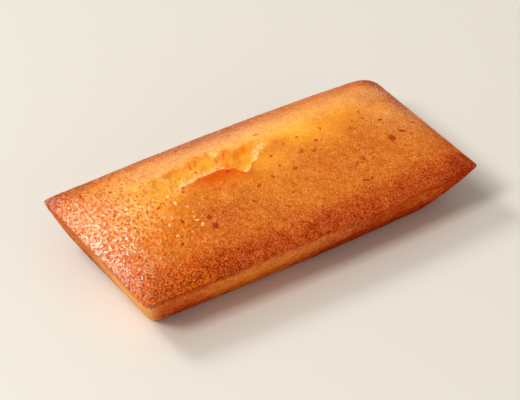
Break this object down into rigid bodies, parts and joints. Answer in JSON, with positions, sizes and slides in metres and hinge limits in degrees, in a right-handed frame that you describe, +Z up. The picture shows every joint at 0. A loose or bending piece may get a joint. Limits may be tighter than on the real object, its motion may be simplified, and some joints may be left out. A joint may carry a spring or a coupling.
{
  "type": "financier cake",
  "caption": "Small almond cake baked in a tapered bar mould, with sloping sides, a flat base and a domed browned top torn open along its crest.",
  "frame": {"origin": "centre of the flat base, on the surface the cake lies on", "axes": "+Z up, +X along the length, +Y towards the long side that lies behind the tear"},
  "size_m": [0.0864, 0.0446, 0.0158],
  "materials": {
    "crust": null
  },
  "bodies": {
    "root": {"cake": "crust"}
  },
  "joints": []
}
